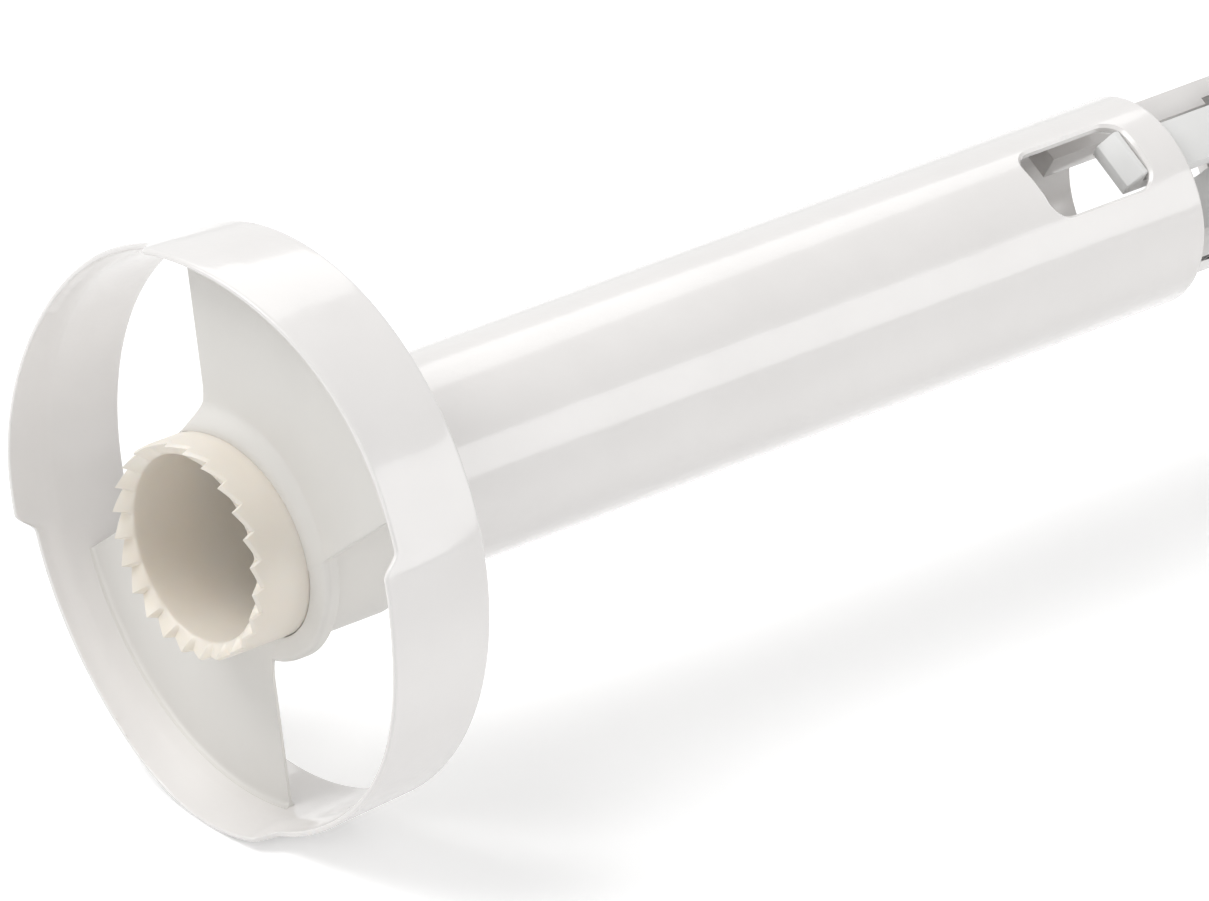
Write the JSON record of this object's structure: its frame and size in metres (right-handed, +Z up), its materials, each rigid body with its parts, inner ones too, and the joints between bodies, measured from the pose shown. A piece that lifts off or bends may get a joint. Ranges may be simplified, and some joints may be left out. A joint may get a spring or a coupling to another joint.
{
  "type": "pineapple slicer",
  "caption": "Plastic corer and slicer: saw-edged ring with helical blades on a toothed core tube, and a detachable T-handle with push-button latches.",
  "frame": {"origin": "centre of the bounding box in plan, on the surface that the tool lies on", "axes": "+X along the core tube from the toothed end to the grip, +Z up"},
  "size_m": [0.2598, 0.0924, 0.0924],
  "materials": {
    "white_plastic": "satin gloss white",
    "vane_plastic": "satin off-white",
    "ivory_plastic": "fine satin ivory",
    "latch_plastic": "satin white",
    "button_plastic": "fine matt grey",
    "screw_steel": "bright"
  },
  "bodies": {
    "cutter": {"cutting_ring": "white_plastic", "slicing_blade_front": "vane_plastic", "slicing_blade_rear": "vane_plastic", "hub_collar": "vane_plastic", "saw_crown": "ivory_plastic", "core_tube": "white_plastic"},
    "handle": {"handle_neck": "white_plastic", "grip_front_shell": "white_plastic", "grip_back_shell": "white_plastic", "grip_screw_1": "screw_steel", "grip_screw_2": "screw_steel", "grip_screw_3": "screw_steel", "grip_screw_4": "screw_steel", "latch_carrier": "latch_plastic", "latch_arm_upper": "latch_plastic", "latch_arm_lower": "latch_plastic"},
    "button_upper": {"release_button_upper": "button_plastic"},
    "button_lower": {"release_button_lower": "button_plastic"}
  },
  "joints": [
    {"name": "handle_draw", "type": "slide", "parent": "cutter", "child": "handle", "axis": [1, 0, 0], "range_m": [0, 0.06], "deforming": ["latch_arm_upper", "latch_arm_lower"]},
    {"name": "upper_button_press", "type": "slide", "parent": "handle", "child": "button_upper", "axis": [0, 0.515, -0.8572], "range_m": [0, 0.0016], "stiffness_N_per_m": 600, "deforming": ["latch_arm_upper"]},
    {"name": "lower_button_press", "type": "slide", "parent": "handle", "child": "button_lower", "axis": [0, -0.515, 0.8572], "range_m": [0, 0.0016], "stiffness_N_per_m": 600, "deforming": ["latch_arm_lower"]}
  ]
}
